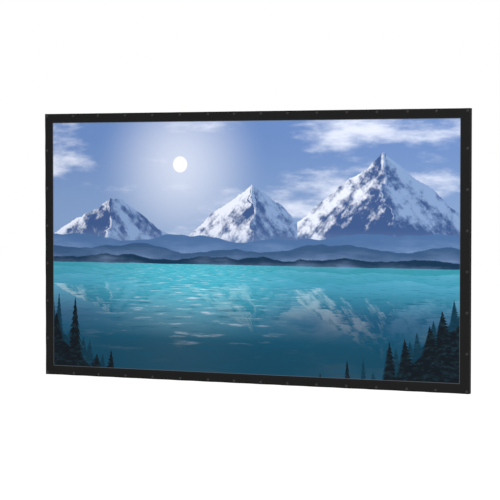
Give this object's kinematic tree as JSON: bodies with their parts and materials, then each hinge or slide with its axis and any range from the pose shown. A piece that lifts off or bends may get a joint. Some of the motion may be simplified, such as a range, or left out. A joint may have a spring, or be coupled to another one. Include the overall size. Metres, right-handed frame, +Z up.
{
  "type": "fixed frame projector screen",
  "caption": "Wide wall-hung projection screen: a matte sheet with a black snap-fastened border, stretched on a black square-tube frame with hook clips.",
  "frame": {"origin": "centre of the whole screen's bounding box", "axes": "+X to the viewer's right along the screen's width, +Y from the picture towards the wall, +Z up"},
  "size_m": [2.54, 0.0382, 1.4732],
  "materials": {
    "screen_sheet": "matte projection sheet, lit by a picture in blues",
    "border": "matte black vinyl-coated fabric",
    "frame_tube": "black powder coat on aluminium",
    "sleeve": "mill finish",
    "screw": "bright zinc plate",
    "clip": "black powder coat on steel",
    "bumper": "matte moulded rubber"
  },
  "bodies": {
    "root": {"viewing_surface": "screen_sheet", "border_top": "border", "border_bottom": "border", "border_left": "border", "border_right": "border", "corner_unit_bottom_left": "frame_tube", "corner_unit_bottom_right": "frame_tube", "corner_unit_top_right": "frame_tube", "corner_unit_top_left": "frame_tube", "bottom_rail_left": "frame_tube", "bottom_rail_right": "frame_tube", "top_rail_left": "frame_tube", "top_rail_right": "frame_tube", "left_stile": "frame_tube", "right_stile": "frame_tube", "splice_sleeve_bottom_left": "sleeve", "splice_sleeve_bottom_middle": "sleeve", "splice_sleeve_bottom_right": "sleeve", "splice_sleeve_right_lower": "sleeve", "splice_sleeve_right_upper": "sleeve", "splice_sleeve_top_right": "sleeve", "splice_sleeve_top_middle": "sleeve", "splice_sleeve_top_left": "sleeve", "splice_sleeve_left_upper": "sleeve", "splice_sleeve_left_lower": "sleeve", "splice_screw_bottom_left_1": "screw", "splice_screw_bottom_left_2": "screw", "splice_screw_bottom_middle_1": "screw", "splice_screw_bottom_middle_2": "screw", "splice_screw_bottom_right_1": "screw", "splice_screw_bottom_right_2": "screw", "splice_screw_right_lower_1": "screw", "splice_screw_right_lower_2": "screw", "splice_screw_right_upper_1": "screw", "splice_screw_right_upper_2": "screw", "splice_screw_top_right_1": "screw", "splice_screw_top_right_2": "screw", "splice_screw_top_middle_1": "screw", "splice_screw_top_middle_2": "screw", "splice_screw_top_left_1": "screw", "splice_screw_top_left_2": "screw", "splice_screw_left_upper_1": "screw", "splice_screw_left_upper_2": "screw", "splice_screw_left_lower_1": "screw", "splice_screw_left_lower_2": "screw", "hook_clip_left": "clip", "hook_clip_right": "clip", "wall_clip_left": "clip", "wall_clip_right": "clip", "clip_screw_left_1": "screw", "clip_screw_left_2": "screw", "clip_screw_right_1": "screw", "clip_screw_right_2": "screw", "bumper_left": "bumper", "bumper_right": "bumper"}
  },
  "joints": []
}
